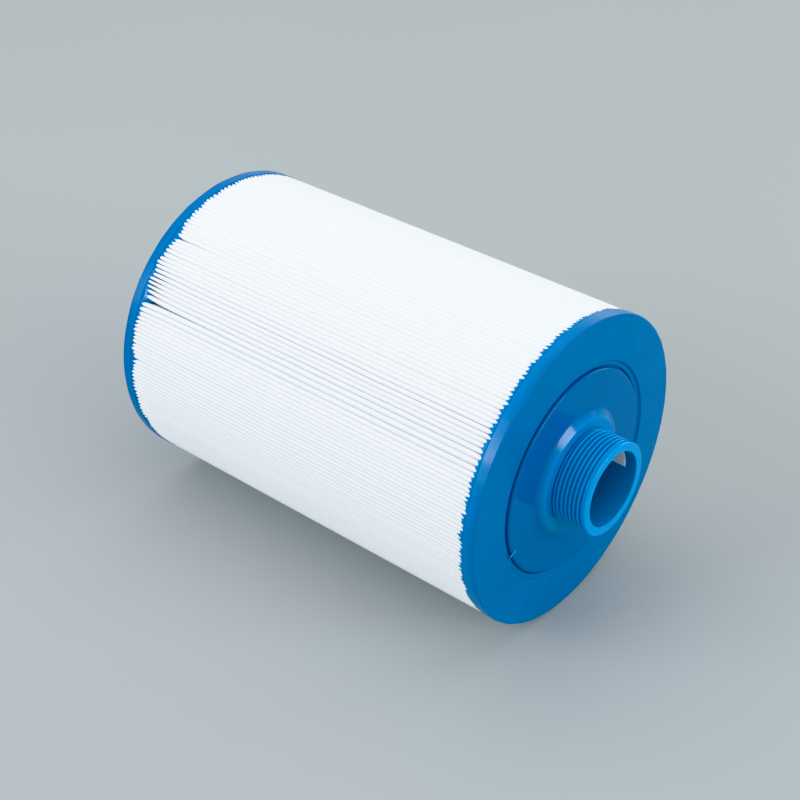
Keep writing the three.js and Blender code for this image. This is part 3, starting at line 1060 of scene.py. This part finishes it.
def pleat_lines(sizes):
    """The middle of the cloth as a closed zigzag at every station: x, angle and radius.

    Each pleat runs from its inner fold out along one wall, over an elliptical tip and back along the other
    wall. The walls' feet are evenly spaced round the core, whatever the tips do."""
    count = sizes.pleats
    x = (-POTTING - STATIONS * (BODY_LENGTH - 2 * POTTING))[:, None]
    depth = x + BODY_LENGTH - POTTING
    tip_radius = CAP_RADIUS - sizes.tip_gap - sizes.cloth / 2
    own = np.random.default_rng(8).uniform(-1, 1, (3, count))
    tip = tip_angles(sizes, x, depth, own, tip_radius)
    half, pinch, tip_depth = tip_shapes(count, tip, x, depth, own, tip_radius)
    half = ((half - sizes.cloth / 2) * (1 - pinch))[..., None]
    lower = TIP_UNEVENNESS * (own[2] - 1) * (0.7 + 0.3 * np.sin(9 * x + 5 * own[1]))
    tip_depth = tip_depth[..., None]
    top = (tip_radius + lower)[..., None] - tip_depth * (1 - PATH_RISES) - SHOULDER_DROP * AT_SHOULDER
    radius = np.where(AT_TIP, top, sizes.pleat_bottom + FOOT_RISE * ~AT_FOLD)
    offset = np.where(AT_TIP, half, WALL_HALF_WIDTH) * PATH_SIDES
    even = (sizes.seam_angle + (np.arange(count) + 0.5) * TURN / count)[:, None]
    base = np.where(AT_TIP, tip[..., None], even)
    angle = np.where(AT_FOLD, even - TURN / count / 2, base + offset / radius)
    flat = (len(x), count * PATH_POINTS)
    return x, angle.reshape(flat), radius.reshape(flat)


def cloth_face(x, angle, radius, shift):
    """A face of the cloth: each point of the zigzag moved square to it, outwards where shift is
    negative, as points on the grid of stations and places along the strip."""
    across, up = -radius * np.sin(angle), radius * np.cos(angle)
    step = np.stack([np.roll(v, -1, 1) - np.roll(v, 1, 1) for v in (across, up)], -1)
    step /= np.linalg.norm(step, axis=-1, keepdims=True)
    along = np.broadcast_to(FACE_X + x, angle.shape)
    return np.stack([along, across + shift * step[..., 1], AXIS_Z + up - shift * step[..., 0]], -1)


def folded_cloth(sizes):
    """The folded strip as one closed body: its outer face, its inner face and the rims at both ends.
    Also returns the width of the strip and its length, measured along the folds."""
    line = pleat_lines(sizes)
    outer, middle, inner = (cloth_face(*line, share * sizes.cloth) for share in (-0.5, 0, 0.5))
    rows, columns = outer.shape[:2]
    face = grid_faces(rows, columns, False, True)
    count = rows * columns
    rim = np.arange(columns)
    after = np.roll(rim, -1)
    near = np.stack([rim, after, after + count, rim + count], 1)
    far = np.stack([after, rim, rim + count, after + count], 1) + count - columns
    middle = middle[rows // 2]
    length = np.linalg.norm(np.roll(middle, -1, 0) - middle, axis=1).sum()
    width = np.ptp(line[0])
    faces = [face[:, ::-1], face + count, near[:, ::-1], far[:, ::-1]]
    return np.concatenate([outer, inner]).reshape(-1, 3), faces, (width, length)


class CARTRIDGE_OT_cloth(bpy.types.Operator):
    """Folds the filter cloth into a ring of pleats whose two ends meet"""

    bl_idname = "cartridge.cloth"
    bl_label = "Pleated Cloth"

    def execute(self, context):
        sizes, colours = context.scene.cartridge_sizes, context.scene.cartridge_colours
        points, faces, flat = folded_cloth(sizes)
        material = the_material("filter_cloth", filter_cloth, colours.cloth)
        piece = new_piece("pleated_cloth", points, faces, material)
        tone = np.random.default_rng(3).random(sizes.pleats)
        add_shade(piece, "fold", np.tile(np.repeat(tone, PATH_POINTS), 2 * len(STATIONS)))
        settle(piece, "pleated_media")
        return {"FINISHED"}


def seam_film(seam_angle):
    """A flat oval carried along the seam, whose depth waves slightly as a sine of the station."""
    x = np.linspace(-POTTING, -BODY_LENGTH + POTTING, 60)[:, None]
    around = np.linspace(0, TURN, 12, endpoint=False)[None, :]
    middle = CAP_RADIUS - SEAM_DEPTH + 0.25 * MM * np.sin(140 * x)
    radius = middle + SEAM_HALF_HEIGHT * np.cos(around)
    angle = seam_angle + SEAM_HALF_WIDTH * np.sin(around) / radius
    points, faces = capped(about_axis(x, radius, angle))
    return points, turned_back(faces)


class CARTRIDGE_OT_seam(bpy.types.Operator):
    """Lays the thin film of glue in the seam between the cloth's two ends"""

    bl_idname = "cartridge.seam"
    bl_label = "Glued Seam"

    def execute(self, context):
        film = seam_film(context.scene.cartridge_sizes.seam_angle)
        piece = new_piece("seam_glue", *film, the_material("set_glue", set_glue))
        settle(piece, "seam_bead")
        return {"FINISHED"}


# ------------------------------------------------------------------ studio

FLOOR_REACH = 12.0
WORLD_COLOUR = (0.955, 0.985, 1.0)
# Each light's name, place, size, power and colour. They all face the middle of the cartridge.
LIGHTS = (
    ("overhead", (-0.35, 0.25, 1.9), (1.9, 1.9), 5.5, (0.97, 1.0, 0.96)),
    ("left", (-0.75, -1.45, 0.95), (0.95, 0.85), 12.0, (0.82, 0.95, 1.0)),
    ("right", (1.77, 0.24, 0.73), (1.3, 0.45), 11.0, (0.76, 0.96, 1.0)),
    ("back", (0.1, 2.3, 0.8), (2.4, 1.5), 11.0, (0.75, 1.0, 0.99)),
)
# Where the camera aims, in cap radii: behind the threaded cap's face and below the axis.
AIM_BACK, AIM_DOWN = 1.3573, 0.083

# How the film answers to light, as (light, tone): a soft shoulder for all its colours, which keeps the
# folds of the white cloth apart, and a short toe for red, which keeps deep blue clear of haze.
FILM_SHOULDER = ((0, 0), (0.35, 0.355), (0.75, 0.775), (1, 0.945))
FILM_RED_TOE = ((0, 0), (0.05, 0.002), (0.12, 0.095), (0.25, 0.248), (1, 1))


def soft_box(name, place, size, power, colour):
    """A rectangular light at place, facing the middle of the cartridge."""
    data = bpy.data.lights.new(name, "AREA")
    data.shape = "RECTANGLE"
    data.size, data.size_y = size
    data.energy = power
    data.color = colour
    light = bpy.data.objects.new(name, data)
    bpy.context.scene.collection.objects.link(light)
    toward = Vector((0.0, 0.0, AXIS_Z)) - Vector(place)
    light.location = place
    light.rotation_euler = toward.to_track_quat("-Z", "Y").to_euler()
    light.visible_camera = False


def film_response(view):
    """Gives the camera's film that response, as curves over the plain view transform."""
    view.view_transform = "Standard"
    view.use_curve_mapping = True
    for index, response in ((0, FILM_RED_TOE), (3, FILM_SHOULDER)):
        points = view.curve_mapping.curves[index].points
        while len(points) < len(response):
            points.new(0.5, 0.5)
        for point, place in zip(points, response):
            point.location = place
    view.curve_mapping.update()


def paper_floor(colour):
    """A flat square of paper under the cartridge, wide enough to reach the horizon."""
    corners = np.array([[-1, -1, 0], [1, -1, 0], [1, 1, 0], [-1, 1, 0]]) * FLOOR_REACH
    paper = the_material("studio_paper", studio_paper, colour)
    return new_piece("studio_floor", corners, [np.array([[0, 1, 2, 3]])], paper, False)


def soft_world(strength):
    """Faint, even light from all round."""
    world = bpy.data.worlds.new("studio_light")
    world.use_nodes = True
    background = world.node_tree.nodes["Background"]
    background.inputs["Color"].default_value = (*WORLD_COLOUR, 1)
    background.inputs["Strength"].default_value = strength
    return world


def studio_camera(studio):
    """A camera at the given bearing, height and distance from the point that it aims at."""
    camera = bpy.data.objects.new("camera", bpy.data.cameras.new("camera"))
    camera.data.lens = studio.lens
    camera.data.clip_start = 0.01
    camera.data.clip_end = 100
    aim = np.array([FACE_X - AIM_BACK * CAP_RADIUS, 0, AXIS_Z - AIM_DOWN * CAP_RADIUS])
    level, height = np.cos(studio.elevation), np.sin(studio.elevation)
    bearing = np.array([np.sin(studio.azimuth), -np.cos(studio.azimuth)])
    camera.location = aim + studio.distance * np.append(level * bearing, height)
    camera.rotation_euler = (np.pi / 2 - studio.elevation, 0, studio.azimuth)
    return camera


class CARTRIDGE_OT_studio(bpy.types.Operator):
    """Sets up the floor, the lights and the camera"""

    bl_idname = "cartridge.studio"
    bl_label = "Studio"

    def execute(self, context):
        scene, studio = context.scene, context.scene.cartridge_studio
        paper_floor(scene.cartridge_colours.floor)
        scene.world = soft_world(studio.ambient)
        for light in LIGHTS:
            soft_box(*light)
        scene.camera = studio_camera(studio)
        scene.collection.objects.link(scene.camera)
        film_response(scene.view_settings)
        return {"FINISHED"}


# ------------------------------------------------------------------ add-on


class CARTRIDGE_PT_panel(bpy.types.Panel):
    """Lists the cartridge's settings and the operators that build it"""

    bl_label = "Filter Cartridge"
    bl_idname = "CARTRIDGE_PT_panel"
    bl_space_type = "VIEW_3D"
    bl_region_type = "UI"
    bl_category = "Cartridge"

    def draw(self, context):
        scene, layout = context.scene, self.layout
        for title, group in (
            ("Sizes", scene.cartridge_sizes),
            ("Colours", scene.cartridge_colours),
            ("Studio", scene.cartridge_studio),
        ):
            box = layout.box()
            box.label(text=title)
            for name in group.__annotations__:
                box.prop(group, name)
        for operator in OPERATORS:
            layout.operator(operator.bl_idname)


OPERATORS = (
    CARTRIDGE_OT_studio,
    CARTRIDGE_OT_end_caps,
    CARTRIDGE_OT_outlet,
    CARTRIDGE_OT_label,
    CARTRIDGE_OT_handle,
    CARTRIDGE_OT_core,
    CARTRIDGE_OT_cloth,
    CARTRIDGE_OT_seam,
)
GROUPS = (
    ("cartridge_sizes", CartridgeSizes),
    ("cartridge_colours", CartridgeColours),
    ("cartridge_studio", StudioSettings),
)


def register():
    """Adds the settings to the scene, and the operators and the panel to Blender."""
    for name, group in GROUPS:
        bpy.utils.register_class(group)
        setattr(bpy.types.Scene, name, bpy.props.PointerProperty(type=group))
    for item in (*OPERATORS, CARTRIDGE_PT_panel):
        bpy.utils.register_class(item)


def unregister():
    """Takes out what register put in, the other way round."""
    for item in reversed((*OPERATORS, CARTRIDGE_PT_panel)):
        bpy.utils.unregister_class(item)
    for name, group in reversed(GROUPS):
        delattr(bpy.types.Scene, name)
        bpy.utils.unregister_class(group)


def main():
    """Builds the whole scene."""
    register()
    for operator in OPERATORS:
        family, name = operator.bl_idname.split(".")
        getattr(getattr(bpy.ops, family), name)()


if __name__ == "__main__":
    main()
